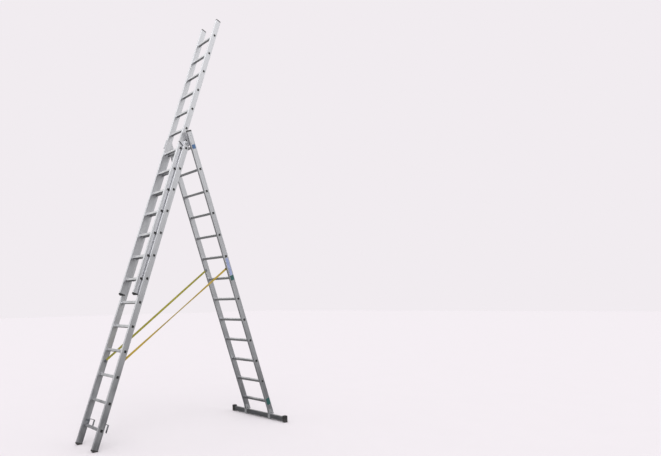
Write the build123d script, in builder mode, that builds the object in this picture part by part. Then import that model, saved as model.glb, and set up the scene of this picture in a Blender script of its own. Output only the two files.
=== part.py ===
from build123d import *
import os
from math import cos, radians, sin

# Three-section combination ladder, standing open as a stepladder with its top section raised.
# Origin: on the floor, at the middle of the footprint. +Z up, +X from the front leg to the
# rear leg, Y along the rungs. Millimetres and degrees.

os.makedirs("parts", exist_ok=True)

# ---------------------------------------------------------------- driving dimensions
RUNGS = 13                    # rungs in each section
PITCH = 280.0                 # from one rung to the next, along the stile
LEAN = 19.45                  # each leg from the vertical, with the ladder open

STILE_DEPTH = 73.0
STILE_WIDTH = 25.0
STILE_WALL = 2.0
STILE_CORNER = 3.0
GROOVE_WIDTH = 5.0            # two long grooves in each stile's outer face
GROOVE_DEEP = 0.8
GROOVE_APART = 34.0

REAR_WIDTH = 476.0            # over the stiles of the base section
SECTION_GAP = 6.5             # between a rear stile and the front one inside it
TOP_GAP = 12.0                # and between a front stile and the top one

RUNG_SIZE = 30.0
RUNG_WALL = 1.6
RUNG_CORNER = 3.5
RUNG_SHIFT = 6.0              # front and top rungs sit this far behind their stiles' middle
TREAD_RIBS = 4
TREAD_RIB_PITCH = 5.0
TREAD_GROOVE = 2.2
TREAD_GROOVE_DEEP = 0.7
BEAD_PROUD = 1.2              # the rung's expanded rim against each stile face
BEAD_WIDE = 1.6
PLUG_HEAD = 0.8               # what an end plug shows past the rung
PLUG_DEEP = 9.0

FRONT_FIRST_RUNG = 217.0      # from the floor, along the front leg
FRONT_TOP = 84.0              # stile above the highest rung
REAR_TOP = 188.0
TOP_OFFSET = 54.0             # the top section lies this far in front of the front section
TOP_RAISED = 6                # rungs that the top section stands above its lowest place
TOP_DROP = 19.0               # a top rung below the front rung that carries it
TOP_BELOW = 176.0             # stile below the top section's first rung
TOP_ABOVE = 224.0
CAP_HEIGHT = 18.0
CAP_PLUG = 12.0               # how far a cap reaches into its stile
CAP_CLEAR = 2.0               # between the front caps' plugs and the hinge bushes
CAP_TAPER = 12.0

PIVOT_ABOVE = 62.0            # hinge bolt above the front section's highest rung
PIVOT_ABOVE_REAR = 58.0       # and above the rear section's
PIVOT_BEHIND = 62.0           # from the hinge bolt back to the middle of the rear stiles
BOLT_RADIUS = 5.0
BUSH_RADIUS = 8.0
BUSH_CLEARANCE = 0.06
BOLT_HEAD = 6.5
BOLT_HEX = 17.0
NUT_HEIGHT = 7.0
WASHER_RADIUS = 14.0
PIVOT_PLAY = 0.3
HINGE_PLATE = 4.0
HINGE_EYE = 20.0              # radius of the plate round the bolt
HINGE_EDGE = 34.0             # the plate's front edge, in front of the rear stile's middle
HINGE_BACK = 31.0             # and its rear edge behind it
HINGE_NECK = 20.0
HINGE_BELOW_TOP = 34.0        # its upper edge below the stile's end
HINGE_ABOVE_RUNG = 8.0
HINGE_RIVETS_LOW = ((-18.0, 22.0), (18.0, 14.0))   # from the plate's lower edge
HINGE_RIVET_HIGH = (2.0, 16.0)                     # below its upper edge
BOLT_END = 2.0                # thread past the nut
HEAD_PLATE = 3.0
HEAD_PLATE_LOW = 30.0         # head bracket, from the highest front rung
HEAD_PLATE_HIGH = 168.0
HEAD_PLATE_BEHIND = 30.0      # and its edge behind the front stiles' middle
GUIDE_PLAY = 1.6
GUIDE_LIP = 26.0
GUIDE_LOW = 22.0              # the guide starts this far above the bracket's lower edge
HEAD_SHOULDER = 52.0          # the bracket's rear corner is cut off by this height
HEAD_SHOULDER_DEEP = 34.0     # and this depth
HEAD_RIVETS = ((-27.0, 12.0), (22.0, 12.0), (22.0, 46.0))
HEAD_RIVET_HIGH = 1.6

FOOT_HIGH = 22.0              # from the floor to the stile's square end, at its middle
FOOT_LIP = 1.0                # the foot stands this far proud of the stile all round
FOOT_TOE = 14.0               # thickness at the front edge, above the bevel
FOOT_HEEL = 7.0               # and at the rear edge
FOOT_FLAT = (-14.0, 29.0)     # the part of its underside that lies on the floor
FOOT_PLUG = 30.0
FOOT_GROOVES = (-8.0, 4.0, 16.0)
FOOT_GROOVE_WIDE = 3.0
FOOT_GROOVE_DEEP = 2.5

HOOK_WIDE = 25.0
HOOK_THICK = 6.0
HOOK_PLAY = 4.5
HOOK_TIP = -14.0              # a front hook's tip, from its rung's middle
TOP_HOOK_TIP = 7.0            # a top hook's
HOOK_RADIUS = 11.0
TOP_HOOK_SEAT = TOP_DROP + RUNG_SIZE / 2 + 0.3
FRONT_HOOK_SEAT = 68.0
FLANGE_FRONT = -12.0          # the front hooks' flange on the stile, from the stile's middle
FLANGE_THICK = 3.0
FLANGE_HIGH = 20.0
HOOK_INSET = 2.0              # from the stile's inner face
HOOK_FOOT = 2.0               # a hook's leg ends this far above its rung's underside
HOOK_RIVETS = (0.28, 0.72)    # places across the hook
RIVET_RADIUS = 4.0
RIVET_HEAD = 2.0
RIVET_TAPER = 25.0

BAR_LENGTH = 1010.0
BAR_HEIGHT = 54.0
BAR_DEPTH = 40.0
BAR_WALL = 2.5
BAR_CORNER = 4.0
BAR_LOW = 12.0
BAR_FORWARD = 38.0            # the bar's middle in front of where the rear legs meet the floor
SHOE_WIDE = 36.0
SHOE_HIGH = 82.0
SHOE_DEEP = 52.0
SHOE_BEVEL = 7.0
CARRIER_PLATE = 4.0
CARRIER_RIM = 9.0
CARRIER_PLAY = 1.0            # between the bar and the stiles' ends above it
CARRIER_LUG = 32.0
CARRIER_HIGH = 150.0          # top of the carriers at the stile's front edge
CARRIER_SLOPE = 30.0          # and how much lower at its rear edge
CARRIER_INSET = 4.0           # from the stile's edges
CARRIER_GROUND = 2.0          # the lug's clearance from the floor
CARRIER_HOLES = ((-14.0, 26.0), (14.0, 50.0))      # bolts, up from the stile's cut
CARRIER_HEAD = 5.0

STRAP_WIDE = 25.0
STRAP_THICK = 2.0
STRAP_FRONT = (6.0, 925.0)    # behind the stile's middle, and up the front leg
STRAP_REAR = (-26.0, 2052.0)  # in front of the stile's middle, and up the rear leg
ANCHOR_SIZE = 34.0
ANCHOR_THICK = 4.0
ANCHOR_BOLT = 4.0
ANCHOR_CORNER = 3.0
SMALL_HEX = 13.0              # across the flats of the small bolt heads

LABEL_THICK = 0.3
LABEL_BLUE = (50.0, 52.0)
LABEL_TEAL = (54.0, 62.0)
LABEL_LONG = (44.0, 222.0)
LABEL_FOOT = (58.0, 85.0)
LABEL_CORNER = 3.0
LABEL_APART = 2.0

# ---------------------------------------------------------------- worked out from them
FRONT_WIDTH = REAR_WIDTH - 2 * (STILE_WIDTH + SECTION_GAP)
TOP_WIDTH = FRONT_WIDTH - 2 * (STILE_WIDTH + TOP_GAP)
SIDES = (-1, 1)

s = sin(radians(LEAN))
c = cos(radians(LEAN))
FRONT_RUNGS = [FRONT_FIRST_RUNG + i * PITCH for i in range(RUNGS)]
PIVOT_UP = FRONT_RUNGS[-1] + PIVOT_ABOVE
REAR_PIVOT_UP = PIVOT_UP + PIVOT_BEHIND * s / c
REAR_FIRST_RUNG = REAR_PIVOT_UP - PIVOT_ABOVE_REAR - (RUNGS - 1) * PITCH
REAR_RUNGS = [REAR_FIRST_RUNG + i * PITCH for i in range(RUNGS)]
FRONT_END = max(FRONT_TOP, PIVOT_ABOVE + BUSH_RADIUS + CAP_PLUG + CAP_CLEAR)
SPREAD = PIVOT_UP * s + PIVOT_BEHIND * c + REAR_PIVOT_UP * s
TOP_FIRST_RUNG = FRONT_RUNGS[TOP_RAISED] - TOP_DROP
TOP_RUNGS = [TOP_FIRST_RUNG + i * PITCH for i in range(RUNGS)]

REAR_CUT = BAR_LOW + BAR_HEIGHT + CARRIER_PLAY
FOOT_HALF = STILE_DEPTH / 2 + FOOT_LIP
TOE_REACH = FOOT_HALF * c - (FOOT_HIGH - FOOT_TOE) * s
REAR_HEEL = STILE_DEPTH / 2 / c - REAR_CUT * s / c
REAR_REACH = max(REAR_HEEL, SHOE_DEEP / 2 - BAR_FORWARD)
FRONT_X = (TOE_REACH - REAR_REACH - SPREAD) / 2
REAR_X = FRONT_X + SPREAD

FRONT_LEG = Plane(origin=(FRONT_X, 0, 0), x_dir=(c, 0, -s), z_dir=(s, 0, c))
REAR_LEG = Plane(origin=(REAR_X, 0, 0), x_dir=(c, 0, s), z_dir=(-s, 0, c))


def side_of(leg):
    """The plane of a leg's side view: x across the stile, y up the leg, normal along -Y."""
    return Plane(origin=leg.origin, x_dir=leg.x_dir, z_dir=(0, -1, 0))


FRONT_SIDE = side_of(FRONT_LEG)
REAR_SIDE = side_of(REAR_LEG)
FLOOR_SIDE = Plane(origin=(0, 0, 0), x_dir=(1, 0, 0), z_dir=(0, -1, 0))


def at_y(side, y):
    """The same side view, moved along the rungs to y."""
    return side.offset(-y)


def finish(part, name):
    part.label = name
    export_step(part, "parts/" + name + ".step")


# ---------------------------------------------------------------- parts that repeat
def make_stile(leg, width, side, middle, low, high, rungs, rung_x, bores=()):
    """One hollow stile with grooves outside, pierced for its rungs and bolts."""
    centre = side * (width - STILE_WIDTH) / 2
    with BuildPart() as stile:
        with BuildSketch(leg.offset(low)):
            with Locations((middle, centre)):
                RectangleRounded(STILE_DEPTH, STILE_WIDTH, STILE_CORNER)
                Rectangle(
                    STILE_DEPTH - 2 * STILE_WALL,
                    STILE_WIDTH - 2 * STILE_WALL,
                    mode=Mode.SUBTRACT,
                )
            for across in SIDES:
                with Locations((middle + across * GROOVE_APART / 2, side * (width - GROOVE_DEEP) / 2)):
                    Rectangle(GROOVE_WIDTH, GROOVE_DEEP, mode=Mode.SUBTRACT)
        extrude(amount=high - low)
        with BuildSketch(at_y(side_of(leg), centre)):
            with Locations(*[(rung_x, z) for z in rungs]):
                RectangleRounded(RUNG_SIZE, RUNG_SIZE, RUNG_CORNER)
            for x, z, radius in bores:
                with Locations((x, z)):
                    Circle(radius)
        extrude(amount=STILE_WIDTH, both=True, mode=Mode.SUBTRACT)
    return stile.part


def make_rungs(side_plane, width, rung_x, rungs):
    """All rungs of a section: ribbed tubes with an expanded rim at each stile face."""
    outside = width / 2
    inside = outside - STILE_WIDTH
    places = [(rung_x, z) for z in rungs]
    rib_span = (TREAD_RIBS - 1) * TREAD_RIB_PITCH
    with BuildPart() as tubes:
        with BuildSketch(side_plane):
            with Locations(*places):
                RectangleRounded(RUNG_SIZE, RUNG_SIZE, RUNG_CORNER)
        extrude(amount=outside + BEAD_PROUD, both=True)
        for side in SIDES:
            for low, high in ((inside - BEAD_PROUD, inside), (outside, outside + BEAD_PROUD)):
                with BuildSketch(at_y(side_plane, side * low)):
                    with Locations(*places):
                        RectangleRounded(
                            RUNG_SIZE + 2 * BEAD_WIDE, RUNG_SIZE + 2 * BEAD_WIDE, RUNG_CORNER + BEAD_WIDE
                        )
                extrude(amount=-side * (high - low))
        with BuildSketch(side_plane):
            with Locations(*places):
                RectangleRounded(
                    RUNG_SIZE - 2 * RUNG_WALL, RUNG_SIZE - 2 * RUNG_WALL, RUNG_CORNER - RUNG_WALL
                )
        extrude(amount=width, both=True, mode=Mode.SUBTRACT)
        with BuildSketch(side_plane):
            for x, z in places:
                for face in SIDES:
                    for rib in range(TREAD_RIBS):
                        across = x - rib_span / 2 + rib * TREAD_RIB_PITCH
                        with Locations((across, z + face * (RUNG_SIZE - TREAD_GROOVE_DEEP) / 2)):
                            Rectangle(TREAD_GROOVE, TREAD_GROOVE_DEEP)
        extrude(amount=inside - BEAD_PROUD, both=True, mode=Mode.SUBTRACT)
    return tubes.part


def make_plugs(side_plane, width, rung_x, rungs):
    """The plastic plugs that close both ends of every rung."""
    inner = RUNG_SIZE - 2 * RUNG_WALL
    end = width / 2 + BEAD_PROUD
    with BuildPart() as plugs:
        for side in SIDES:
            with BuildSketch(at_y(side_plane, side * (end - PLUG_DEEP))):
                with Locations(*[(rung_x, z) for z in rungs]):
                    RectangleRounded(inner, inner, RUNG_CORNER - RUNG_WALL)
            extrude(amount=-side * (PLUG_DEEP + PLUG_HEAD))
    return plugs.part


def make_end_caps(leg, width, middle, end):
    """Plastic caps on both stiles' cut ends: a bevelled head and a plug inside the stile."""
    with BuildPart() as caps:
        for side in SIDES:
            with BuildSketch(leg.offset(end)):
                with Locations((middle, side * (width - STILE_WIDTH) / 2)):
                    RectangleRounded(STILE_DEPTH, STILE_WIDTH, STILE_CORNER)
            extrude(amount=CAP_HEIGHT, taper=CAP_TAPER)
            with BuildSketch(leg.offset(end)):
                with Locations((middle, side * (width - STILE_WIDTH) / 2)):
                    Rectangle(STILE_DEPTH - 2 * STILE_WALL, STILE_WIDTH - 2 * STILE_WALL)
            extrude(amount=-CAP_PLUG)
    return caps.part


def make_foot_caps(leg, width, middle, end):
    """Rubber caps on a section's lower ends: bevelled in front, flat on the floor, grooved, plugged in."""
    side_plane = side_of(leg)
    floor_slope = s / c
    flat_front, flat_rear = FOOT_FLAT
    below = end - FOOT_HIGH
    with BuildPart() as caps:
        for side in SIDES:
            inner = side * (width / 2 - STILE_WIDTH - FOOT_LIP)
            with BuildSketch(at_y(side_plane, inner)):
                with BuildLine():
                    Polyline(
                        (middle - FOOT_HALF, end),
                        (middle - FOOT_HALF, end - FOOT_TOE),
                        (middle + flat_front, below + flat_front * floor_slope),
                        (middle + flat_rear, below + flat_rear * floor_slope),
                        (middle + FOOT_HALF, end - FOOT_HEEL),
                        (middle + FOOT_HALF, end),
                        close=True,
                    )
                make_face()
            extrude(amount=-side * (STILE_WIDTH + 2 * FOOT_LIP))
            with BuildSketch(leg.offset(end)):
                with Locations((middle, side * (width - STILE_WIDTH) / 2)):
                    Rectangle(STILE_DEPTH - 2 * STILE_WALL, STILE_WIDTH - 2 * STILE_WALL)
            extrude(amount=FOOT_PLUG)
        with BuildSketch(side_plane):
            for x in FOOT_GROOVES:
                with Locations(Location((middle + x, below + x * floor_slope), LEAN)):
                    Rectangle(FOOT_GROOVE_WIDE, 2 * FOOT_GROOVE_DEEP)
        extrude(amount=width, both=True, mode=Mode.SUBTRACT)
    return caps.part


def make_hooks(side_plane, width, rung_x, rung_z, seat, reach, tip):
    """Bent flat bars on a section's first rung, open downwards, that hang it on a rung behind."""
    face = rung_x + RUNG_SIZE / 2
    outer = width / 2 - STILE_WIDTH - HOOK_INSET
    with BuildPart() as hooks:
        for side in SIDES:
            with BuildSketch(at_y(side_plane, side * outer)):
                with BuildLine():
                    FilletPolyline(
                        (face, rung_z - RUNG_SIZE / 2 + HOOK_FOOT),
                        (face, rung_z + seat + HOOK_THICK),
                        (reach + HOOK_THICK, rung_z + seat + HOOK_THICK),
                        (reach + HOOK_THICK, rung_z + tip),
                        radius=HOOK_RADIUS,
                    )
                    Line(
                        (reach + HOOK_THICK, rung_z + tip),
                        (reach, rung_z + tip),
                    )
                    FilletPolyline(
                        (reach, rung_z + tip),
                        (reach, rung_z + seat),
                        (face + HOOK_THICK, rung_z + seat),
                        (face + HOOK_THICK, rung_z - RUNG_SIZE / 2 + HOOK_FOOT),
                        radius=HOOK_RADIUS - HOOK_THICK,
                    )
                    Line(
                        (face + HOOK_THICK, rung_z - RUNG_SIZE / 2 + HOOK_FOOT),
                        (face, rung_z - RUNG_SIZE / 2 + HOOK_FOOT),
                    )
                make_face()
            extrude(amount=side * HOOK_WIDE)
    return hooks.part


def make_hook_rivets(side_plane, width, rung_x, rung_z):
    """Two rivets through each hook's leg."""
    face = rung_x + RUNG_SIZE / 2 + HOOK_THICK
    outer = width / 2 - STILE_WIDTH - HOOK_INSET
    with BuildPart() as rivets:
        for side in SIDES:
            for along in HOOK_RIVETS:
                y = side * (outer - HOOK_WIDE * along)
                at = side_plane.from_local_coords((face, rung_z, -y))
                with BuildSketch(Plane(origin=at, x_dir=(0, 1, 0), z_dir=side_plane.x_dir)):
                    Circle(RIVET_RADIUS)
                extrude(amount=RIVET_HEAD, taper=RIVET_TAPER)
    return rivets.part


# ---------------------------------------------------------------- front and top sections
pivot_bore = [(0.0, PIVOT_UP, BUSH_RADIUS)]
for side, hand in zip(SIDES, ("left", "right")):
    front_stile = make_stile(
        FRONT_LEG, FRONT_WIDTH, side, 0.0, FOOT_HIGH, FRONT_RUNGS[-1] + FRONT_END,
        FRONT_RUNGS, RUNG_SHIFT, pivot_bore,
    )
    finish(front_stile, "front_stile_" + hand)

    top_stile = make_stile(
        FRONT_LEG, TOP_WIDTH, side, -TOP_OFFSET, TOP_RUNGS[0] - TOP_BELOW, TOP_RUNGS[-1] + TOP_ABOVE,
        TOP_RUNGS, RUNG_SHIFT - TOP_OFFSET,
    )
    finish(top_stile, "top_stile_" + hand)

    blank = make_stile(
        REAR_LEG, REAR_WIDTH, side, 0.0, 0.0, REAR_RUNGS[-1] + REAR_TOP, REAR_RUNGS, 0.0,
    )
    with BuildPart() as rear_stile:
        add(blank)
        split(bisect_by=Plane.XY.offset(REAR_CUT), keep=Keep.TOP)
    finish(rear_stile.part, "rear_stile_" + hand)

finish(make_rungs(FRONT_SIDE, FRONT_WIDTH, RUNG_SHIFT, FRONT_RUNGS), "front_rungs")
finish(make_rungs(FRONT_SIDE, TOP_WIDTH, RUNG_SHIFT - TOP_OFFSET, TOP_RUNGS), "top_rungs")
finish(make_rungs(REAR_SIDE, REAR_WIDTH, 0.0, REAR_RUNGS), "rear_rungs")
finish(make_plugs(FRONT_SIDE, FRONT_WIDTH, RUNG_SHIFT, FRONT_RUNGS), "front_rung_plugs")
finish(make_plugs(FRONT_SIDE, TOP_WIDTH, RUNG_SHIFT - TOP_OFFSET, TOP_RUNGS), "top_rung_plugs")
finish(make_plugs(REAR_SIDE, REAR_WIDTH, 0.0, REAR_RUNGS), "rear_rung_plugs")

finish(make_end_caps(FRONT_LEG, FRONT_WIDTH, 0.0, FRONT_RUNGS[-1] + FRONT_END), "front_top_caps")
finish(make_end_caps(REAR_LEG, REAR_WIDTH, 0.0, REAR_RUNGS[-1] + REAR_TOP), "rear_top_caps")
finish(
    make_end_caps(FRONT_LEG, TOP_WIDTH, -TOP_OFFSET, TOP_RUNGS[-1] + TOP_ABOVE), "top_upper_caps"
)
finish(
    make_foot_caps(FRONT_LEG, TOP_WIDTH, -TOP_OFFSET, TOP_RUNGS[0] - TOP_BELOW), "top_lower_caps"
)
finish(make_foot_caps(FRONT_LEG, FRONT_WIDTH, 0.0, FOOT_HIGH), "front_feet")

# ---------------------------------------------------------------- hooks
front_reach = PIVOT_BEHIND + RUNG_SIZE / 2 + HOOK_PLAY
top_reach = RUNG_SHIFT + RUNG_SIZE / 2 + HOOK_PLAY
flange_high = FRONT_RUNGS[0] + FRONT_HOOK_SEAT + HOOK_THICK
flange_behind = RUNG_SHIFT + RUNG_SIZE / 2 + HOOK_THICK
with BuildPart() as front_hooks:
    add(
        make_hooks(
            FRONT_SIDE, FRONT_WIDTH, RUNG_SHIFT, FRONT_RUNGS[0], FRONT_HOOK_SEAT, front_reach, HOOK_TIP
        )
    )
    for side in SIDES:
        with BuildSketch(at_y(FRONT_SIDE, side * (FRONT_WIDTH / 2 - STILE_WIDTH))):
            with Locations(((FLANGE_FRONT + flange_behind) / 2, flange_high - HOOK_RADIUS - FLANGE_HIGH / 2)):
                Rectangle(flange_behind - FLANGE_FRONT, FLANGE_HIGH)
        extrude(amount=side * FLANGE_THICK)
finish(front_hooks.part, "front_hooks")
finish(
    make_hooks(
        FRONT_SIDE, TOP_WIDTH, RUNG_SHIFT - TOP_OFFSET, TOP_RUNGS[0], TOP_HOOK_SEAT, top_reach,
        TOP_HOOK_TIP,
    ),
    "top_hooks",
)
finish(make_hook_rivets(FRONT_SIDE, FRONT_WIDTH, RUNG_SHIFT, FRONT_RUNGS[0]), "front_hook_rivets")
finish(
    make_hook_rivets(FRONT_SIDE, TOP_WIDTH, RUNG_SHIFT - TOP_OFFSET, TOP_RUNGS[0]), "top_hook_rivets"
)

# ---------------------------------------------------------------- head brackets with the guide
front_inner = FRONT_WIDTH / 2 - STILE_WIDTH
head_low = FRONT_RUNGS[-1] + HEAD_PLATE_LOW
head_high = FRONT_RUNGS[-1] + HEAD_PLATE_HIGH
guide_front = -TOP_OFFSET - STILE_DEPTH / 2 - GUIDE_PLAY
with BuildPart() as head_brackets:
    for side in SIDES:
        with BuildSketch(at_y(FRONT_SIDE, side * front_inner)):
            with BuildLine():
                Polyline(
                    (guide_front, head_low + GUIDE_LOW),
                    (-STILE_DEPTH / 2, head_low),
                    (HEAD_PLATE_BEHIND, head_low),
                    (HEAD_PLATE_BEHIND, head_high - HEAD_SHOULDER),
                    (HEAD_PLATE_BEHIND - HEAD_SHOULDER_DEEP, head_high),
                    (guide_front, head_high),
                    close=True,
                )
            make_face()
            with Locations((0.0, PIVOT_UP)):
                Circle(BUSH_RADIUS, mode=Mode.SUBTRACT)
        extrude(amount=side * HEAD_PLATE)
        with BuildSketch(at_y(FRONT_SIDE, side * front_inner)):
            with Locations((guide_front - HEAD_PLATE / 2, (head_low + GUIDE_LOW + head_high) / 2)):
                Rectangle(HEAD_PLATE, head_high - head_low - GUIDE_LOW)
        extrude(amount=side * (HEAD_PLATE + GUIDE_LIP))
finish(head_brackets.part, "head_brackets")

bracket_rivets = [(x, head_low + z) for x, z in HEAD_RIVETS]
with BuildPart() as head_rivets:
    for side in SIDES:
        with BuildSketch(at_y(FRONT_SIDE, side * (front_inner - HEAD_PLATE))):
            with Locations(*bracket_rivets):
                Circle(RIVET_RADIUS)
        extrude(amount=side * HEAD_RIVET_HIGH, taper=RIVET_TAPER)
finish(head_rivets.part, "head_rivets")

# ---------------------------------------------------------------- hinge between the two legs
with BuildPart() as hinge_bushes:
    for side in SIDES:
        with BuildSketch(at_y(FRONT_SIDE, side * FRONT_WIDTH / 2)):
            with Locations((0.0, PIVOT_UP)):
                Circle(BUSH_RADIUS)
                Circle(BOLT_RADIUS + BUSH_CLEARANCE, mode=Mode.SUBTRACT)
        extrude(amount=side * (STILE_WIDTH + HEAD_PLATE))
finish(hinge_bushes.part, "hinge_bushes")

rear_inner = REAR_WIDTH / 2 - STILE_WIDTH
plate_low = REAR_RUNGS[-1] + RUNG_SIZE / 2 + BEAD_WIDE + HINGE_ABOVE_RUNG
plate_high = REAR_RUNGS[-1] + REAR_TOP - HINGE_BELOW_TOP
with BuildPart() as hinge_plates:
    for side in SIDES:
        with BuildSketch(at_y(REAR_SIDE, side * rear_inner)):
            with BuildLine():
                Polyline(
                    (-PIVOT_BEHIND - HINGE_EYE, REAR_PIVOT_UP),
                    (-PIVOT_BEHIND, REAR_PIVOT_UP - HINGE_EYE),
                    (-HINGE_EDGE, plate_low),
                    (HINGE_BACK, plate_low),
                    (HINGE_BACK, plate_high),
                    (-HINGE_NECK, plate_high),
                    (-PIVOT_BEHIND, REAR_PIVOT_UP + HINGE_EYE),
                    close=True,
                )
            make_face()
            with Locations((-PIVOT_BEHIND, REAR_PIVOT_UP)):
                Circle(HINGE_EYE)
                Circle(BOLT_RADIUS, mode=Mode.SUBTRACT)
        extrude(amount=side * HINGE_PLATE)
finish(hinge_plates.part, "hinge_plates")

plate_bolts = [(x, plate_low + z) for x, z in HINGE_RIVETS_LOW]
plate_bolts.append((HINGE_RIVET_HIGH[0], plate_high - HINGE_RIVET_HIGH[1]))
with BuildPart() as hinge_rivets:
    for side in SIDES:
        with BuildSketch(at_y(REAR_SIDE, side * REAR_WIDTH / 2)):
            with Locations(*plate_bolts):
                Circle(RIVET_RADIUS + 1)
        extrude(amount=-side * RIVET_HEAD, taper=RIVET_TAPER)
finish(hinge_rivets.part, "hinge_rivets")

plate_inner = rear_inner - HINGE_PLATE
nut_face = front_inner - HEAD_PLATE - PIVOT_PLAY
with BuildPart() as hinge_bolts:
    for side in SIDES:
        with BuildSketch(at_y(REAR_SIDE, side * rear_inner)):
            with Locations((-PIVOT_BEHIND, REAR_PIVOT_UP)):
                RegularPolygon(BOLT_HEX / 2, 6, major_radius=False)
        extrude(amount=-side * BOLT_HEAD)
        with BuildSketch(at_y(REAR_SIDE, side * rear_inner)):
            with Locations((-PIVOT_BEHIND, REAR_PIVOT_UP)):
                Circle(BOLT_RADIUS)
        extrude(amount=side * (rear_inner - nut_face + NUT_HEIGHT + BOLT_END))
finish(hinge_bolts.part, "hinge_bolts")

with BuildPart() as hinge_nuts:
    for side in SIDES:
        with BuildSketch(at_y(REAR_SIDE, side * nut_face)):
            with Locations((-PIVOT_BEHIND, REAR_PIVOT_UP)):
                RegularPolygon(BOLT_HEX / 2, 6, major_radius=False)
                Circle(BOLT_RADIUS, mode=Mode.SUBTRACT)
        extrude(amount=side * NUT_HEIGHT)
finish(hinge_nuts.part, "hinge_nuts")

with BuildPart() as hinge_washers:
    for side in SIDES:
        with BuildSketch(at_y(REAR_SIDE, side * plate_inner)):
            with Locations((-PIVOT_BEHIND, REAR_PIVOT_UP)):
                Circle(WASHER_RADIUS)
                Circle(BOLT_RADIUS, mode=Mode.SUBTRACT)
        extrude(amount=side * (plate_inner - FRONT_WIDTH / 2 - PIVOT_PLAY))
finish(hinge_washers.part, "hinge_washers")

# ---------------------------------------------------------------- stabiliser under the rear leg
BAR_X = REAR_X - BAR_FORWARD
BAR_Z = BAR_LOW + BAR_HEIGHT / 2
tube_half = BAR_LENGTH / 2 - SHOE_WIDE / 2
with BuildPart() as stabiliser_bar:
    with BuildSketch(FLOOR_SIDE):
        with Locations((BAR_X, BAR_Z)):
            RectangleRounded(BAR_DEPTH, BAR_HEIGHT, BAR_CORNER)
            RectangleRounded(
                BAR_DEPTH - 2 * BAR_WALL, BAR_HEIGHT - 2 * BAR_WALL, BAR_CORNER - BAR_WALL, mode=Mode.SUBTRACT
            )
    extrude(amount=tube_half, both=True)
finish(stabiliser_bar.part, "stabiliser_bar")

with BuildPart() as stabiliser_shoes:
    for side in SIDES:
        with BuildSketch(at_y(FLOOR_SIDE, side * (BAR_LENGTH / 2 - SHOE_WIDE))):
            with Locations((BAR_X, SHOE_HIGH / 2)):
                RectangleRounded(SHOE_DEEP, SHOE_HIGH, SHOE_BEVEL)
            with Locations((BAR_X, SHOE_BEVEL / 2)):
                Rectangle(SHOE_DEEP - SHOE_BEVEL, SHOE_BEVEL)
        extrude(amount=-side * SHOE_WIDE)
        with BuildSketch(at_y(FLOOR_SIDE, side * (BAR_LENGTH / 2 - SHOE_WIDE))):
            with Locations((BAR_X, BAR_Z)):
                RectangleRounded(BAR_DEPTH, BAR_HEIGHT, BAR_CORNER)
        extrude(amount=-side * SHOE_WIDE / 2, mode=Mode.SUBTRACT)
finish(stabiliser_shoes.part, "stabiliser_shoes")

carrier_holes = [(x, REAR_CUT + z) for x, z in CARRIER_HOLES]
stile_faces = []
for side in SIDES:
    stile_faces += [(side, REAR_WIDTH / 2, 1), (side, rear_inner, -1)]
with BuildPart() as stabiliser_carriers:
    front = BAR_X - BAR_DEPTH / 2 - CARRIER_RIM
    back = BAR_X + BAR_DEPTH / 2 + CARRIER_RIM
    shoulder = BAR_Z + BAR_HEIGHT / 2 + CARRIER_RIM
    front_edge = REAR_LEG.from_local_coords((-STILE_DEPTH / 2 + CARRIER_INSET, 0, CARRIER_HIGH))
    back_edge = REAR_LEG.from_local_coords((STILE_DEPTH / 2 - CARRIER_INSET, 0, CARRIER_HIGH - CARRIER_SLOPE))
    hip = REAR_LEG.from_local_coords(
        (STILE_DEPTH / 2 - CARRIER_INSET, 0, (REAR_CUT - STILE_DEPTH / 2 * s) / c)
    )
    for side, face, outward in stile_faces:
        with BuildSketch(at_y(FLOOR_SIDE, side * face)):
            with BuildLine():
                Polyline(
                    (BAR_X - CARRIER_LUG / 2, CARRIER_GROUND),
                    (BAR_X + CARRIER_LUG / 2, CARRIER_GROUND),
                    (back, BAR_LOW - CARRIER_GROUND),
                    (back, shoulder - CARRIER_RIM),
                    (hip.X, hip.Z),
                    (back_edge.X, back_edge.Z),
                    (front_edge.X, front_edge.Z),
                    (front, shoulder),
                    (front, BAR_LOW - CARRIER_GROUND),
                    close=True,
                )
            make_face()
            with Locations((BAR_X, BAR_Z)):
                RectangleRounded(BAR_DEPTH, BAR_HEIGHT, BAR_CORNER, mode=Mode.SUBTRACT)
        extrude(amount=-side * outward * CARRIER_PLATE)
    for side in SIDES:
        web_y = side * (REAR_WIDTH - STILE_WIDTH) / 2
        with Locations((front + CARRIER_PLATE / 2, web_y, BAR_Z - CARRIER_GROUND / 2)):
            Box(CARRIER_PLATE, STILE_WIDTH + 2 * CARRIER_PLATE, BAR_HEIGHT + CARRIER_GROUND)
finish(stabiliser_carriers.part, "stabiliser_carriers")

with BuildPart() as carrier_bolts:
    for side, face, outward in stile_faces:
        with BuildSketch(at_y(REAR_SIDE, side * (face + outward * CARRIER_PLATE))):
            with Locations(*carrier_holes):
                RegularPolygon(SMALL_HEX / 2, 6, major_radius=False)
        extrude(amount=-side * outward * CARRIER_HEAD)
finish(carrier_bolts.part, "carrier_bolts")

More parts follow.
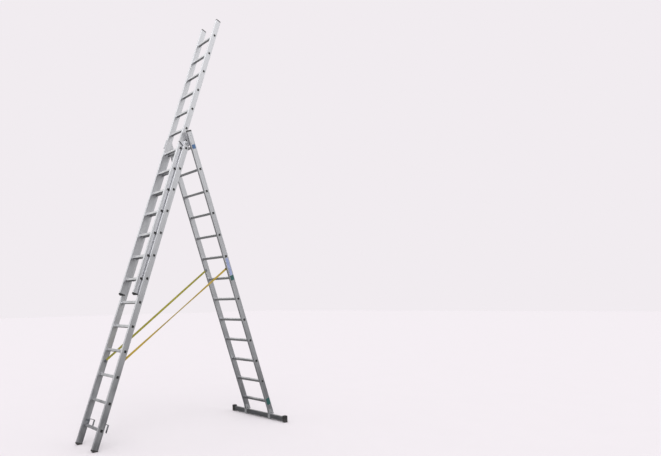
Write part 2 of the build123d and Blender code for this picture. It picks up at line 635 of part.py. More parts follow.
# ---------------------------------------------------------------- spreader straps
strap_from = FRONT_LEG.from_local_coords((STRAP_FRONT[0], 0, STRAP_FRONT[1]))
strap_to = REAR_LEG.from_local_coords((STRAP_REAR[0], 0, STRAP_REAR[1]))
strap_line = strap_to - strap_from
anchor_ends = (
    ("front_strap", strap_from, front_inner, 1),
    ("rear_strap", strap_to, rear_inner, -1),
)
for name, centre, face, toward in anchor_ends:
    with BuildPart() as plates:
        for side in SIDES:
            along = Plane(
                origin=(centre.X, side * face, centre.Z),
                x_dir=(strap_line.X, 0, strap_line.Z),
                z_dir=(0, -side, 0),
            )
            with BuildSketch(along):
                RectangleRounded(ANCHOR_SIZE, ANCHOR_SIZE, ANCHOR_CORNER)
            extrude(amount=ANCHOR_THICK)
    finish(plates.part, name + "_plates")
    with BuildPart() as bolts:
        for side in SIDES:
            on_plate = Plane(
                origin=(centre.X, side * (face - ANCHOR_THICK), centre.Z),
                x_dir=(1, 0, 0),
                z_dir=(0, -side, 0),
            )
            with BuildSketch(on_plate):
                RegularPolygon(SMALL_HEX / 2, 6, major_radius=False)
            extrude(amount=ANCHOR_BOLT)
    finish(bolts.part, name + "_bolts")

unit = strap_line.normalized()
for side, hand in zip(SIDES, ("left", "right")):
    low_y = side * (front_inner - ANCHOR_THICK / 2)
    high_y = side * (rear_inner - ANCHOR_THICK / 2)
    low = strap_from + unit * (ANCHOR_SIZE / 2)
    high = strap_to - unit * (ANCHOR_SIZE / 2)
    ends = ((low, low_y), (high, high_y))
    with BuildPart() as strap:
        for at, y in ends:
            with BuildSketch(Plane(origin=(at.X, y, at.Z), x_dir=(0, 1, 0), z_dir=(unit.X, 0, unit.Z))):
                Rectangle(STRAP_THICK, STRAP_WIDE)
        loft()
    finish(strap.part, "strap_" + hand)

# ---------------------------------------------------------------- labels on the left rear stile
LABELS = (
    ("label_top", LABEL_BLUE, REAR_RUNGS[-1]),
    ("label_middle", LABEL_TEAL, REAR_RUNGS[6] - LABEL_APART),
    ("label_long", LABEL_LONG, REAR_RUNGS[6] + LABEL_TEAL[1] / 2 + LABEL_LONG[1] / 2 + LABEL_APART),
    ("label_foot", LABEL_FOOT, REAR_RUNGS[0]),
)
label_base = REAR_WIDTH / 2 + BEAD_PROUD + PLUG_HEAD
for name, (wide, tall), up in LABELS:
    over_rung = min(abs(up - z) for z in REAR_RUNGS) < tall / 2
    base = label_base if over_rung else REAR_WIDTH / 2
    with BuildPart() as label:
        with BuildSketch(at_y(REAR_SIDE, -base)):
            with Locations((0.0, up)):
                RectangleRounded(wide, tall, LABEL_CORNER)
        extrude(amount=LABEL_THICK)
    finish(label.part, name)
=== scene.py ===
"""Looks of a three-section combination ladder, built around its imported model."""

import math

import bpy
from bpy.props import FloatProperty, PointerProperty, StringProperty
from mathutils import Matrix, Vector


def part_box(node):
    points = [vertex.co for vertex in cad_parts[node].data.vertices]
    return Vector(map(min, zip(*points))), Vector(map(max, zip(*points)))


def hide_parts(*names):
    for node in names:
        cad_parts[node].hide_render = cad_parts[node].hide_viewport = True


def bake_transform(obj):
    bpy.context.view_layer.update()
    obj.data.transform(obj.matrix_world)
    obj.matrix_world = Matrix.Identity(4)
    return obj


bl_info = {
    "name": "Combination ladder",
    "version": (1, 0, 0),
    "blender": (4, 5, 0),
    "location": "View3D > Sidebar > Ladder",
    "description": "Dresses the packed ladder and lights it in a small studio",
    "category": "Object",
}

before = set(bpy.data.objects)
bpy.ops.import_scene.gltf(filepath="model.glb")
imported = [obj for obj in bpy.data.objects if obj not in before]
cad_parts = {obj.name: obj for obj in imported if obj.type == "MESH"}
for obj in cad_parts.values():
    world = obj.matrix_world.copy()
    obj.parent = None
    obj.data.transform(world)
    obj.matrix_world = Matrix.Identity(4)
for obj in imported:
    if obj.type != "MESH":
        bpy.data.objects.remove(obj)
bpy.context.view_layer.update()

MM = 0.001
LEAN = math.radians(19.45)

STRAP_Y = (0.1795, 0.2110)    # where each strap's ends lie across the ladder, at the front and the rear
STRAP_RINGS = 72
FAR_TURN = -0.65              # the right strap turns the other way, by this share
SEWN_LAP = 0.07               # each strap end is sewn back on itself over this length
STITCH_PITCH = 0.004
STITCH_RADIUS = 0.0006
STITCH_GAP = 0.1              # of the pitch, left free at each end of a stitch
SEAM_INSET = 0.2              # from the lap's edges, as a share of the strap's width
LAP_SHARE = 0.9               # a sewn lap adds this share of the webbing's thickness
SUNK = 0.8                    # the webbing's middle is this thick, against 1 at its selvedges
INK = 0.85                    # unfaded ink, against a label's colour
THREAD = 1.5                  # millimetres between the webbing's threads, as drawn
WAVES_PER_UNIT = 20.0         # bands that the wave pattern draws in one unit at a scale of 1

FRONT_STILES = ("front_stile_left", "front_stile_right", "top_stile_left", "top_stile_right")
REAR_STILES = ("rear_stile_left", "rear_stile_right")
RUNGS = ("front_rungs", "top_rungs", "rear_rungs")
PLUGS = ("front_rung_plugs", "top_rung_plugs", "rear_rung_plugs")
CAPS = ("front_top_caps", "rear_top_caps", "top_upper_caps", "top_lower_caps")
HOOKS = ("front_hooks", "top_hooks", "front_strap_plates", "rear_strap_plates")
PLATES = ("head_brackets", "hinge_plates", "stabiliser_carriers")
FASTENERS = (
    "front_hook_rivets",
    "top_hook_rivets",
    "head_rivets",
    "hinge_rivets",
    "hinge_bolts",
    "hinge_nuts",
    "hinge_washers",
    "hinge_bushes",
    "carrier_bolts",
    "front_strap_bolts",
    "rear_strap_bolts",
)


# How bright the light tent is from straight down (-1) through the horizon (0) to straight up (1).
TENT = (
    (-1.0, 0.25),
    (-0.5, 0.22),
    (-0.27, 0.1),
    (-0.1, 0.18),
    (0.03, 0.34),
    (0.2, 0.64),
    (0.45, 0.96),
    (1.0, 1.0),
)
TENT_STRENGTH = 1.3
KEY_FROM = (-5.0, -6.5, 9.0)  # the direction that the main light comes from
KEY_STRENGTH = 1.0
KEY_SOFTNESS = math.radians(50)
FLOOR_REACH = 60.0

CAMERA_PLACE = (-3.6659, -5.3636, 1.5079)
CAMERA_YAW = math.radians(36.45)       # from straight along the rungs
CAMERA_PITCH = math.radians(5.10)
CAMERA_ROLL = math.radians(-0.94)
CAMERA_LENS = 29.02
CAMERA_SHIFT = (0.1974, 0.0409)


# ---------------------------------------------------------------- colours and nodes
def linear(hex_colour):
    """An sRGB hex colour as linear RGBA."""
    parts = [int(hex_colour[i : i + 2], 16) / 255 for i in (1, 3, 5)]
    return tuple(p / 12.92 if p <= 0.04045 else ((p + 0.055) / 1.055) ** 2.4 for p in parts) + (1.0,)


def shade(hex_colour, share):
    """A darker hex colour."""
    return "#" + "".join("%02X" % round(int(hex_colour[i : i + 2], 16) * share) for i in (1, 3, 5))


def add(tree, kind, links=(), into=(), stops=(), **settings):
    """Adds a node with its settings. links: (input, socket before it); into: (output, socket after it)."""
    node = tree.nodes.new(kind)
    for key, value in settings.items():
        if key.startswith("in_"):
            socket = key[3:]
            node.inputs[int(socket) if socket.isdigit() else socket.replace("_", " ")].default_value = value
        else:
            setattr(node, key, value)
    for i, (position, colour) in enumerate(stops):
        elements = node.color_ramp.elements
        element = elements[i] if i < 2 else elements.new(position)
        element.position = position
        element.color = linear(colour) if isinstance(colour, str) else (colour, colour, colour, 1)
    for socket, output in links:
        tree.links.new(output, node.inputs[socket])
    for output, socket in into:
        tree.links.new(node.outputs[output], socket)
    return node


def new_material(name, **shader):
    """A material with a Principled shader, whose plain values are set on its own sockets."""
    material = bpy.data.materials.new(name)
    material.use_nodes = True
    tree = material.node_tree
    bsdf = tree.nodes["Principled BSDF"]
    for key, value in shader.items():
        bsdf.inputs[key.replace("_", " ")].default_value = value
    return material, tree, bsdf


def patches(tree, size, lean=0.0, detail=3.0, roughness=0.55):
    """Soft patches, size millimetres across in x, y and z, lying along a leg that leans by that much."""
    place = add(tree, "ShaderNodeTexCoord").outputs["Object"]
    turned = add(tree, "ShaderNodeMapping", links=[("Vector", place)], in_Rotation=(0, -lean, 0))
    cells = tuple(1000.0 / millimetres for millimetres in size)
    scaled = add(tree, "ShaderNodeMapping", links=[("Vector", turned.outputs["Vector"])], in_Scale=cells)
    return add(
        tree,
        "ShaderNodeTexNoise",
        links=[("Vector", scaled.outputs["Vector"])],
        in_Scale=1.0,
        in_Detail=detail,
        in_Roughness=roughness,
    ).outputs["Fac"]


def near_floor(tree, reach, amount):
    """A ramp by height, amount at the floor itself and none above reach metres: painted shade on the
    aluminium, dust on the rubber.
    """
    place = add(tree, "ShaderNodeTexCoord").outputs["Object"]
    height = add(tree, "ShaderNodeSeparateXYZ", links=[("Vector", place)]).outputs["Z"]
    return add(
        tree, "ShaderNodeMapRange", links=[("Value", height)],
        in_From_Min=0.0, in_From_Max=reach, in_To_Min=amount, in_To_Max=0.0,
    ).outputs["Result"]


def difference(tree, tone, *less):
    """A tone with others taken off it."""
    for other in less:
        tone = add(tree, "ShaderNodeMath", operation="SUBTRACT", links=[(0, tone), (1, other)]).outputs[0]
    return tone


def surface(tree, bsdf, tone, colours, relief, strength, depth):
    """Gives a shader its colours from a tone, and its relief, depth millimetres deep."""
    add(
        tree,
        "ShaderNodeValToRGB",
        links=[("Fac", tone)],
        into=[("Color", bsdf.inputs["Base Color"])],
        stops=colours,
    )
    add(
        tree,
        "ShaderNodeBump",
        links=[("Height", relief)],
        into=[("Normal", bsdf.inputs["Normal"])],
        in_Strength=strength,
        in_Distance=depth * MM,
    )


# ---------------------------------------------------------------- materials
def extruded_aluminium(name, lean, floor_shade, dark, light):
    """Aluminium alloy, extruded and left mill finished."""
    # The die leaves fine lines along the stile, and its film of oxide keeps the shine soft and pale.
    # Real die lines are under 0.5 mm apart; the broad ones are 6 mm, so that they show from afar.
    # Hands and other sections that slide past leave duller patches and long thin scratches,
    # and the lowest metre and a half is darkened towards the floor with painted shade.
    material, tree, bsdf = new_material(name, Metallic=1.0)
    die_lines = patches(tree, (1.2, 1.2, 400), lean, 2.0)
    broad_lines = patches(tree, (6, 6, 1800), lean)
    handled = patches(tree, (90, 90, 260), lean, 4.0, 0.6)
    scratched = patches(tree, (2.5, 2.5, 160), lean, 2.0)
    tone = add(
        tree, "ShaderNodeMix", data_type="FLOAT", links=[(2, broad_lines), (3, handled)], in_0=0.45
    ).outputs[0]
    scratches = add(
        tree, "ShaderNodeMapRange", links=[("Value", scratched)],
        in_From_Min=0.66, in_From_Max=0.72, in_To_Min=0.0, in_To_Max=0.25,
    ).outputs["Result"]
    # painted shade: the tone drops over the lowest metre and a half, darkening the stile towards the floor
    tone = difference(tree, tone, scratches, near_floor(tree, 1.5, 0.35))
    surface(tree, bsdf, tone, ((0.0, floor_shade), (0.7, light), (0.3, dark)), die_lines, 0.25, 0.15)
    add(
        tree, "ShaderNodeMapRange", links=[("Value", handled)], into=[("Result", bsdf.inputs["Roughness"])],
        in_From_Min=0.3, in_From_Max=0.7, in_To_Min=0.38, in_To_Max=0.52,
    )
    return material


def ribbed_aluminium(floor_shade, dark, light):
    """Aluminium alloy, extruded with a ribbed tread and expanded into the stiles."""
    # Die lines run along the rung, shoes have polished the tread in patches; painted shade darkens the lowest
    # rungs.
    material, tree, bsdf = new_material("extruded_aluminium_rung", Metallic=1.0)
    worn = patches(tree, (60, 90, 60), detail=4.0, roughness=0.6)
    die_lines = patches(tree, (1.2, 300, 1.2), detail=2.0)
    # painted shade: the tone drops over the lowest metre and a half, darkening the rungs towards the floor
    tone = difference(tree, worn, near_floor(tree, 1.5, 0.4))
    surface(tree, bsdf, tone, ((0.0, floor_shade), (0.72, light), (0.3, dark)), die_lines, 0.25, 0.15)
    add(
        tree, "ShaderNodeMapRange", links=[("Value", worn)], into=[("Result", bsdf.inputs["Roughness"])],
        in_From_Min=0.3, in_From_Max=0.7, in_To_Min=0.5, in_To_Max=0.36,
    )
    return material


def zinc_plated_steel(name, dark, light, roughness):
    """Mild steel, pressed and zinc plated."""
    # Plating keeps the pressed sheet's soft mottle, about 12 mm across, and a faint cold tint.
    material, tree, bsdf = new_material(name, Metallic=1.0, Roughness=roughness)
    mottle = patches(tree, (12, 12, 12))
    grain = patches(tree, (1.5, 1.5, 1.5), detail=2.0)
    surface(tree, bsdf, mottle, ((0.32, dark), (0.68, light)), grain, 0.2, 0.1)
    return material


def pressed_aluminium(dark, light):
    """Aluminium sheet, pressed and tumbled."""
    # Tumbling leaves a matt, even mottle, about 10 mm across, with a fine grain in it.
    material, tree, bsdf = new_material("pressed_aluminium", Metallic=1.0, Roughness=0.5)
    mottle = patches(tree, (10, 10, 10))
    grain = patches(tree, (1.0, 1.0, 1.0), detail=2.0)
    surface(tree, bsdf, mottle, ((0.32, dark), (0.68, light)), grain, 0.2, 0.1)
    return material


def moulded_polyamide(dark, light):
    """Black polyamide, injection moulded."""
    # A spark-eroded mould gives it a fine, slightly shiny grain, with dust lying in it.
    material, tree, bsdf = new_material("moulded_polyamide", IOR=1.53, Roughness=0.48)
    dust = patches(tree, (25, 25, 25), detail=4.0, roughness=0.6)
    grain = patches(tree, (1.0, 1.0, 1.0), detail=2.0)
    surface(tree, bsdf, dust, ((0.35, dark), (0.75, light)), grain, 0.3, 0.12)
    return material


def moulded_rubber(dark, light):
    """Black rubber, moulded."""
    # It is duller than the plastic, and its lowest centimetres are greyed by dust from the floor.
    material, tree, bsdf = new_material("moulded_rubber", IOR=1.52, Roughness=0.72)
    worn = patches(tree, (18, 18, 18), detail=4.0, roughness=0.6)
    grain = patches(tree, (1.4, 1.4, 1.4))
    dusty = difference(tree, worn, near_floor(tree, 0.05, -0.35))
    surface(tree, bsdf, dusty, ((0.45, dark), (1.0, light)), grain, 0.4, 0.2)
    return material


def powder_coat(dark, light):
    """Dark grey polyester powder coat, sprayed on steel tube and baked."""
    # The baked film has a satin orange-peel texture, 2 mm across, and long scuffs along the bar.
    material, tree, bsdf = new_material("powder_coated_steel", IOR=1.5, Roughness=0.42)
    scuffs = patches(tree, (30, 140, 14), detail=4.0, roughness=0.65)
    peel = patches(tree, (2, 2, 2), detail=2.0)
    surface(tree, bsdf, scuffs, ((0.4, dark), (0.8, light)), peel, 0.3, 0.15)
    return material


def polyester_webbing(name, weft, warp):
    """Polyester webbing, woven in a plain weave."""
    # The real threads are 0.6 mm apart; they are drawn 1.5 mm apart so that the weave shows.
    material, tree, bsdf = new_material(name, IOR=1.5, Roughness=0.8, Sheen_Weight=0.25, Sheen_Roughness=0.5)
    uv = add(tree, "ShaderNodeUVMap", uv_map="webbing").outputs["UV"]
    bands = [
        add(
            tree,
            "ShaderNodeTexWave",
            links=[("Vector", uv)],
            wave_type="BANDS",
            bands_direction=direction,
            in_Scale=1000.0 / THREAD / WAVES_PER_UNIT,
            in_Distortion=0.4,
            in_Detail=1.0,
        ).outputs["Fac"]
        for direction in ("X", "Y")
    ]
    weave = add(tree, "ShaderNodeMath", operation="MULTIPLY", links=[(0, bands[0]), (1, bands[1])]).outputs[0]
    faded = patches(tree, (70, 70, 70))
    tone = add(tree, "ShaderNodeMix", data_type="FLOAT", links=[(2, weave), (3, faded)], in_0=0.5).outputs[0]
    surface(tree, bsdf, tone, ((0.1, weft), (0.6, warp)), weave, 0.5, 0.3)
    return material


def sewing_thread(colour, worn_colour):
    """Bonded polyester thread, twisted."""
    # The twist is too fine to see, so only its dull lustre and soiling show.
    material, tree, bsdf = new_material("sewing_thread", IOR=1.5, Roughness=0.6, Sheen_Weight=0.2)
    soiled = patches(tree, (8, 8, 8))
    twist = patches(tree, (0.8, 0.8, 0.8), detail=1.0)
    surface(tree, bsdf, soiled, ((0.35, worn_colour), (0.65, colour)), twist, 0.3, 0.1)
    return material


def printed_vinyl(name, ink, faded):
    """Soft vinyl film, screen printed and laminated."""
    # A thin clear film gives it a flat gloss; the ink has faded a little in patches.
    material, tree, bsdf = new_material(name, IOR=1.5, Roughness=0.35, Coat_Weight=0.3, Coat_Roughness=0.2)
    fading = patches(tree, (35, 35, 35))
    ripple = patches(tree, (9, 9, 9), detail=2.0)
    surface(tree, bsdf, fading, ((0.35, ink), (0.75, faded)), ripple, 0.15, 0.1)
    return material


def studio_paper(colour):
    """Seamless paper of the studio floor."""
    # Rolled paper is dead matt, with a slight cloudiness half a metre across.
    material, tree, bsdf = new_material("studio_paper", Roughness=1.0, Specular_IOR_Level=0.0)
    cloud = patches(tree, (500, 500, 500), detail=2.0)
    tooth = patches(tree, (3, 3, 3), detail=2.0)
    surface(tree, bsdf, cloud, ((0.2, shade(colour, 0.995)), (0.8, colour)), tooth, 0.05, 0.1)
    return material


def paint(material, *nodes):
    """Gives CAD nodes their material."""
    for name in nodes:
        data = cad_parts[name].data
        data.materials.clear()
        data.materials.append(material)


# ---------------------------------------------------------------- meshes
def new_piece(name, points, faces, material, smooth=False):
    mesh = bpy.data.meshes.new(name)
    mesh.from_pydata([tuple(p) for p in points], [], faces)
    mesh.update()
    mesh.materials.append(material)
    mesh.polygons.foreach_set("use_smooth", [smooth] * len(mesh.polygons))
    piece = bpy.data.objects.new(name, mesh)
    bpy.context.scene.collection.objects.link(piece)
    return piece


def strap_mesh(name, start, end, width, thickness, turn, materials):
    """A flat woven strap, sewn back on itself at both ends and turned by that angle in between."""
    half, edge = width / 2, thickness / 2
    lap = thickness * LAP_SHARE
    length = (end - start).length
    ahead = (end - start).normalized()
    base_across = ahead.cross(Vector((0, 1, 0))).normalized()
    base_through = base_across.cross(ahead).normalized()

    def at(distance):
        """The middle of the strap there, and its directions across and through."""
        turned = Matrix.Rotation(turn * math.sin(math.pi * distance / length) ** 2, 3, ahead)
        return start + ahead * distance, turned @ base_across, turned @ base_through

    # one side from the back's middle round the edge to the front's: across, through, and the raised selvedge
    outline = [
        (0.0, -SUNK),
        (half * 0.8, -SUNK),
        (half * 0.88, -1.0),
        (half - edge * 0.4, -1.0),
        (half, -0.4),
        (half, 0.4),
        (half - edge * 0.4, 1.0),
        (half * 0.88, 1.0),
        (half * 0.8, SUNK),
        (0.0, SUNK),
    ]
    ring = outline + [(-a, b) for a, b in reversed(outline[1:-1])]
    count = len(ring)
    steps = [length * i / STRAP_RINGS for i in range(STRAP_RINGS + 1)]
    laps = (0.0, SEWN_LAP, SEWN_LAP + thickness)
    steps = sorted(
        {s for s in steps if laps[2] < s < length - laps[2]} | set(laps) | {length - lap for lap in laps}
    )
    points, faces, mapped = [], [], []
    for s in steps:
        place, across, through = at(s)
        doubled = lap if min(s, length - s) <= SEWN_LAP + 1e-6 else 0.0
        for a, b in ring:
            points.append(place + across * a + through * (edge * b + (doubled if b > 0 else 0.0)))
            mapped.append((a, s))
    for i in range(len(steps) - 1):
        for k in range(count):
            j = (k + 1) % count
            faces.append((i * count + k, (i + 1) * count + k, (i + 1) * count + j, i * count + j))
    last = (len(steps) - 1) * count
    faces += [tuple(range(count)), tuple(last + k for k in reversed(range(count)))]
    woven = len(faces)

    # stitches: a box with a cross in it on each sewn lap, every stitch a thin grain of thread
    inset = width * SEAM_INSET
    aside, upward = half - inset, SEWN_LAP - inset
    box = [(-aside, inset), (aside, inset), (aside, upward), (-aside, upward)]
    seams = [(box[i], box[j]) for i, j in ((0, 1), (1, 2), (2, 3), (3, 0), (0, 2), (1, 3))]
    for sewn_end in (False, True):
        for (a0, s0), (a1, s1) in seams:
            run = math.hypot(a1 - a0, s1 - s0)
            for n in range(int(run / STITCH_PITCH)):
                grain = []
                for share in (STITCH_GAP, 0.5, 1.0 - STITCH_GAP):
                    way = (n + share) * STITCH_PITCH / run
                    s = s0 + (s1 - s0) * way
                    place, across, through = at(length - s if sewn_end else s)
                    top = place + across * (a0 + (a1 - a0) * way) + through * (edge * SUNK + lap)
                    grain.append((top, across, through))
                first = len(points)
                sink = STITCH_RADIUS / 2
                points += [grain[0][0] - grain[0][2] * sink, grain[2][0] - grain[2][2] * sink]
                middle, across, through = grain[1]
                along = (grain[2][0] - grain[0][0]).normalized()
                sideways = along.cross(through).normalized()
                for k in range(6):
                    angle = math.pi * k / 3
                    points.append(
                        middle + (sideways * math.cos(angle) + through * math.sin(angle)) * STITCH_RADIUS
                    )
                for k in range(6):
                    near, far = first + 2 + k, first + 2 + (k + 1) % 6
                    faces += [(first, far, near), (first + 1, near, far)]
                mapped += [(0.0, 0.0)] * 8
    piece = new_piece(name, points, faces, materials[0])
    piece.data.materials.append(materials[1])
    piece.data.polygons.foreach_set("material_index", [0 if i < woven else 1 for i in range(len(faces))])
    layer = piece.data.uv_layers.new(name="webbing")
    for loop in piece.data.loops:
        layer.data[loop.index].uv = mapped[loop.vertex_index]
    return piece


# ---------------------------------------------------------------- what a user would change
class LadderSettings(bpy.types.PropertyGroup):
    aluminium_light: StringProperty(
        name="Aluminium, light", description="Stile colour, hex", default="#DEDEE1"
    )
    aluminium_dark: StringProperty(
        name="Aluminium, dark", description="Stile colour in its streaks", default="#C6C6CA"
    )
    # painted shade: the darkest colour that the stiles and rungs take towards the floor
    floor_shade_colour: StringProperty(name="Painted_shade", description="Aluminium colour near the floor", default="#86858A")
    rung_light: StringProperty(name="Rung, light", description="Rung colour, hex", default="#D6D6D8")
    rung_dark: StringProperty(name="Rung, dark", description="Rung colour in its streaks", default="#BDBDBF")
    steel_light: StringProperty(name="Steel, light", description="Bracket colour, hex", default="#A6A8AB")
    steel_dark: StringProperty(
        name="Steel, dark", description="Bracket colour in its mottle", default="#83858A"
    )
    plastic_dark: StringProperty(name="Plastic, dark", description="Cap and plug colour", default="#161617")
    plastic_light: StringProperty(
        name="Plastic, light", description="Cap and plug colour under dust", default="#2A2A2B"
    )
    rubber_dark: StringProperty(name="Rubber, dark", description="Foot and shoe colour", default="#19191A")
    rubber_light: StringProperty(
        name="Rubber, light", description="Foot and shoe colour under dust", default="#4A4846"
    )
    bar_dark: StringProperty(name="Bar, dark", description="Stabiliser colour", default="#3E3F41")
    bar_light: StringProperty(
        name="Bar, light", description="Stabiliser colour at its scuffs", default="#5B5C5F"
    )
    strap_near: StringProperty(name="Left strap", description="Webbing colour, hex", default="#BFA22E")
    # painted shade: the right strap is the same yellow webbing, given a darker olive colour for the shade it
    # stands in
    strap_far_shaded: StringProperty(name="Right strap", description="Webbing colour, hex", default="#A39B2E")
    thread: StringProperty(name="Thread", description="Colour of the stitches", default="#4B4434")
    label_blue: StringProperty(name="Upper label", description="Film colour, hex", default="#3F6592")
    label_teal: StringProperty(
        name="Middle and lower labels", description="Film colour, hex", default="#2F5F5C"
    )
    label_pale: StringProperty(name="Long label", description="Film colour, hex", default="#9AA6CC")
    backdrop: StringProperty(name="Backdrop", description="Colour behind the ladder, hex", default="#F1ECF0")
    paper: StringProperty(name="Paper", description="Colour of the floor's paper, hex", default="#D0CBCF")
    strap_width: FloatProperty(
        name="Strap width", description="Width of the webbing", default=0.025, unit="LENGTH"
    )
    strap_thickness: FloatProperty(
        name="Strap thickness", description="Thickness of the webbing", default=0.002, unit="LENGTH"
    )
    strap_turn: FloatProperty(
        name="Strap turn", description="How far the webbing turns on its way", default=math.radians(42),
        subtype="ANGLE",
    )


# ---------------------------------------------------------------- operators
class LADDER_OT_straps(bpy.types.Operator):
    """Two taut webbing straps that keep the legs from spreading"""

    bl_idname = "ladder.straps"
    bl_label = "Spreader straps"

    def execute(self, context):
        settings = context.scene.ladder
        thread = sewing_thread(settings.thread, shade(settings.thread, 0.7))
        # the right strap's colour is the yellow webbing darkened with painted shade
        for hand, side, colour in (("left", -1, settings.strap_near), ("right", 1, settings.strap_far_shaded)):
            low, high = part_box("strap_" + hand)
            start = Vector((low.x, side * STRAP_Y[0], low.z))
            end = Vector((high.x, side * STRAP_Y[1], high.z))
            # the webbing's ends are cut square, so their corners reach past its middle line
            direction = (end - start).normalized()
            inset = Vector((abs(direction.z), 0, direction.x)) * settings.strap_width / 2
            start, end = start + inset, end - inset
            material = polyester_webbing("polyester_webbing_" + hand, shade(colour, 0.72), colour)
            piece = strap_mesh(
                "webbing_" + hand,
                start,
                end,
                settings.strap_width,
                settings.strap_thickness,
                settings.strap_turn * (1.0 if hand == "left" else FAR_TURN),
                (material, thread),
            )
            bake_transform(piece)
            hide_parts("strap_" + hand)
        return {"FINISHED"}


class LADDER_OT_stiles(bpy.types.Operator):
    """Six extruded aluminium stiles"""

    bl_idname = "ladder.stiles"
    bl_label = "Stiles"

    def execute(self, context):
        settings = context.scene.ladder
        dark, light = settings.aluminium_dark, settings.aluminium_light
        # the painted shade's colour, which the stiles take towards the floor
        floor_shade = settings.floor_shade_colour
        paint(extruded_aluminium("extruded_aluminium_front", LEAN, floor_shade, dark, light), *FRONT_STILES)
        paint(extruded_aluminium("extruded_aluminium_rear", -LEAN, floor_shade, dark, light), *REAR_STILES)
        return {"FINISHED"}


class LADDER_OT_rungs(bpy.types.Operator):
    """Ribbed rungs"""

    bl_idname = "ladder.rungs"
    bl_label = "Rungs"

    def execute(self, context):
        settings = context.scene.ladder
        # the rungs take the painted shade's colour towards the floor
        paint(ribbed_aluminium(settings.floor_shade_colour, settings.rung_dark, settings.rung_light), *RUNGS)
        return {"FINISHED"}


class LADDER_OT_caps(bpy.types.Operator):
    """Plastic caps on the stiles' upper ends and plugs in the rungs' ends"""

    bl_idname = "ladder.caps"
    bl_label = "Caps and plugs"

    def execute(self, context):
        settings = context.scene.ladder
        paint(moulded_polyamide(settings.plastic_dark, settings.plastic_light), *PLUGS, *CAPS)
        return {"FINISHED"}


class LADDER_OT_brackets(bpy.types.Operator):
    """Pressed steel hooks and strap plates, and pressed aluminium brackets, hinge plates and carriers"""

    bl_idname = "ladder.brackets"
    bl_label = "Brackets"

    def execute(self, context):
        settings = context.scene.ladder
        paint(zinc_plated_steel("zinc_plated_steel", settings.steel_dark, settings.steel_light, 0.42), *HOOKS)
        paint(pressed_aluminium(settings.aluminium_dark, settings.aluminium_light), *PLATES)
        return {"FINISHED"}


class LADDER_OT_fasteners(bpy.types.Operator):
    """Rivets, bolts, nuts and washers"""

    bl_idname = "ladder.fasteners"
    bl_label = "Fasteners"

    def execute(self, context):
        settings = context.scene.ladder
        dark, light = settings.steel_dark, settings.steel_light
        paint(zinc_plated_steel("zinc_plated_fastener", dark, light, 0.32), *FASTENERS)
        return {"FINISHED"}


class LADDER_OT_stabiliser(bpy.types.Operator):
    """The cross bar under the rear leg"""

    bl_idname = "ladder.stabiliser"
    bl_label = "Stabiliser bar"

    def execute(self, context):
        settings = context.scene.ladder
        paint(powder_coat(settings.bar_dark, settings.bar_light), "stabiliser_bar")
        return {"FINISHED"}


class LADDER_OT_feet(bpy.types.Operator):
    """Rubber feet under the front leg and shoes on the bar's ends"""

    bl_idname = "ladder.feet"
    bl_label = "Feet and shoes"

    def execute(self, context):
        settings = context.scene.ladder
        paint(moulded_rubber(settings.rubber_dark, settings.rubber_light), "front_feet", "stabiliser_shoes")
        return {"FINISHED"}


class LADDER_OT_labels(bpy.types.Operator):
    """Plain colour labels on the left rear stile"""

    bl_idname = "ladder.labels"
    bl_label = "Labels"

    def execute(self, context):
        settings = context.scene.ladder
        films = (
            ("blue", settings.label_blue, ("label_top",)),
            ("teal", settings.label_teal, ("label_middle", "label_foot")),
            ("pale", settings.label_pale, ("label_long",)),
        )
        for name, colour, labels in films:
            paint(printed_vinyl("printed_vinyl_" + name, shade(colour, INK), colour), *labels)
        return {"FINISHED"}


def studio_tent(scene, backdrop):
    """A soft tent of light: white overhead, grey at the horizon and dark below, with a pale backdrop."""
    world = bpy.data.worlds.new("studio")
    world.use_nodes = True
    tree = world.node_tree
    tent = tree.nodes["Background"]
    tent.inputs["Strength"].default_value = TENT_STRENGTH
    direction = add(tree, "ShaderNodeTexCoord").outputs["Generated"]
    height = add(tree, "ShaderNodeSeparateXYZ", links=[("Vector", direction)]).outputs["Z"]
    share = add(
        tree, "ShaderNodeMapRange", links=[("Value", height)], in_From_Min=-1.0, in_From_Max=1.0
    ).outputs["Result"]
    add(
        tree,
        "ShaderNodeValToRGB",
        links=[("Fac", share)],
        into=[("Color", tent.inputs["Color"])],
        stops=[((z + 1) / 2, grey) for z, grey in TENT],
    )
    behind = add(tree, "ShaderNodeBackground", in_Color=linear(backdrop), in_Strength=1.0)
    seen = add(tree, "ShaderNodeLightPath").outputs["Is Camera Ray"]
    add(
        tree,
        "ShaderNodeMixShader",
        links=[(0, seen), (1, tent.outputs[0]), (2, behind.outputs[0])],
        into=[(0, tree.nodes["World Output"].inputs["Surface"])],
    )
    scene.world = world


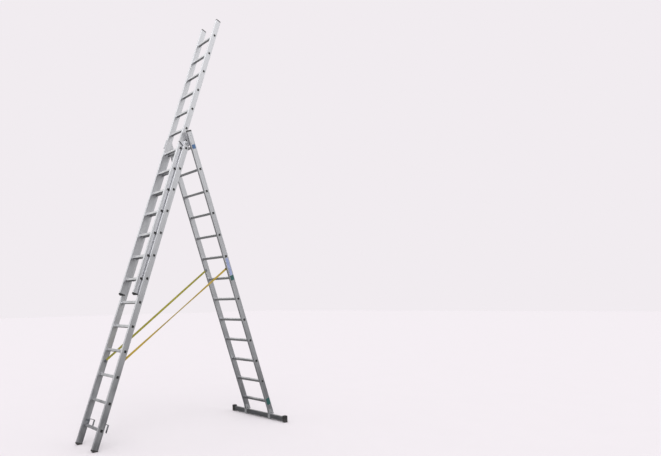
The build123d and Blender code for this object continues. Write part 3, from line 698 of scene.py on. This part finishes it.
class LADDER_OT_stage(bpy.types.Operator):
    """Pale paper floor, soft light and the camera"""

    bl_idname = "ladder.stage"
    bl_label = "Stage"

    def execute(self, context):
        settings = context.scene.ladder
        reach = FLOOR_REACH
        floor = new_piece(
            "studio_floor",
            [(-reach, -reach, 0), (reach, -reach, 0), (reach, reach, 0), (-reach, reach, 0)],
            [(0, 1, 2, 3)],
            studio_paper(settings.paper),
        )
        floor.visible_glossy = False

        studio_tent(context.scene, settings.backdrop)
        light = bpy.data.lights.new("key", "SUN")
        light.energy = KEY_STRENGTH
        light.angle = KEY_SOFTNESS
        key = bpy.data.objects.new("key", light)
        key.rotation_euler = Vector(KEY_FROM).to_track_quat("Z", "Y").to_euler()
        context.scene.collection.objects.link(key)
        context.scene.view_settings.view_transform = "Standard"

        # the camera stands in front and to the left, at eye height
        ahead = Vector(
            (
                math.sin(CAMERA_YAW) * math.cos(CAMERA_PITCH),
                math.cos(CAMERA_YAW) * math.cos(CAMERA_PITCH),
                math.sin(CAMERA_PITCH),
            )
        )
        right = Vector((math.cos(CAMERA_YAW), -math.sin(CAMERA_YAW), 0))
        above = right.cross(ahead)
        tilted_right = right * math.cos(CAMERA_ROLL) + above * math.sin(CAMERA_ROLL)
        tilted_up = above * math.cos(CAMERA_ROLL) - right * math.sin(CAMERA_ROLL)
        turn = Matrix((tilted_right, tilted_up, -ahead)).transposed().to_4x4()
        data = bpy.data.cameras.new("camera")
        data.sensor_fit = "HORIZONTAL"
        data.sensor_width = 36.0
        data.lens = CAMERA_LENS
        data.shift_x, data.shift_y = CAMERA_SHIFT
        data.clip_end = 200
        camera = bpy.data.objects.new("camera", data)
        camera.matrix_world = Matrix.Translation(Vector(CAMERA_PLACE)) @ turn
        context.scene.collection.objects.link(camera)
        context.scene.camera = camera
        return {"FINISHED"}


class LADDER_PT_panel(bpy.types.Panel):
    """Lists the ladder's pieces"""

    bl_label = "Combination ladder"
    bl_idname = "LADDER_PT_panel"
    bl_space_type = "VIEW_3D"
    bl_region_type = "UI"
    bl_category = "Ladder"

    def draw(self, context):
        for operator in OPERATORS:
            self.layout.operator(operator.bl_idname)


OPERATORS = (
    LADDER_OT_straps,
    LADDER_OT_stiles,
    LADDER_OT_rungs,
    LADDER_OT_caps,
    LADDER_OT_brackets,
    LADDER_OT_fasteners,
    LADDER_OT_stabiliser,
    LADDER_OT_feet,
    LADDER_OT_labels,
    LADDER_OT_stage,
)
CLASSES = (LadderSettings, *OPERATORS, LADDER_PT_panel)


def register():
    for item in CLASSES:
        bpy.utils.register_class(item)
    bpy.types.Scene.ladder = PointerProperty(type=LadderSettings)


def unregister():
    del bpy.types.Scene.ladder
    for item in reversed(CLASSES):
        bpy.utils.unregister_class(item)


def main():
    register()
    for operator in OPERATORS:
        group, name = operator.bl_idname.split(".")
        getattr(getattr(bpy.ops, group), name)()


if __name__ == "__main__":
    main()
